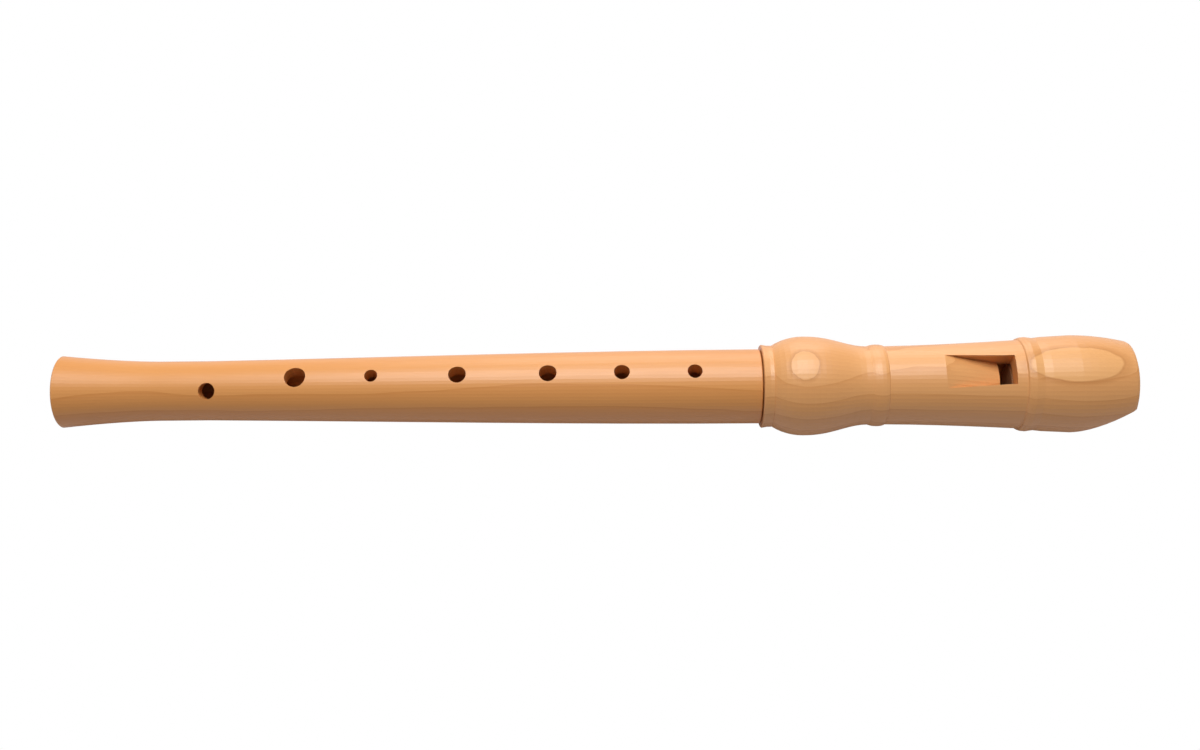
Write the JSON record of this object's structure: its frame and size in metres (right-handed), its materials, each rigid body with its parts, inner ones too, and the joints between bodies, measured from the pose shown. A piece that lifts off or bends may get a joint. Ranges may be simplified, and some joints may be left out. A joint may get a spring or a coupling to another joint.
{
  "type": "descant recorder",
  "caption": "Wooden descant recorder in two joints, with a turned bulb, beak, windowed head and finger holes along a flared body.",
  "frame": {"origin": "under the middle of the length, level with the lowest point of the bulb", "axes": "+X along the bore towards the beak, +Z out of the finger holes"},
  "size_m": [0.325, 0.0302, 0.0302],
  "materials": {
    "body_wood": "satin lacquer",
    "head_wood": "satin lacquer",
    "block_wood": "bare cedar",
    "cork": "greased cork"
  },
  "bodies": {
    "lower_body": {"lower_body": "body_wood"},
    "cork": {"cork_sleeve": "cork"},
    "head": {"head_joint": "head_wood"},
    "block": {"block": "block_wood"}
  },
  "joints": [
    {"name": "head_turn", "type": "hinge", "parent": "lower_body", "child": "cork", "pos_m": [0.05, 0, 0.01511], "axis": [1, 0, 0], "continuous": true},
    {"name": "head_slide", "type": "slide", "parent": "cork", "child": "head", "axis": [1, 0, 0], "range_m": [0, 0.025]},
    {"name": "block_slide", "type": "slide", "parent": "head", "child": "block", "axis": [1, 0, 0], "range_m": [0, 0.042]}
  ]
}
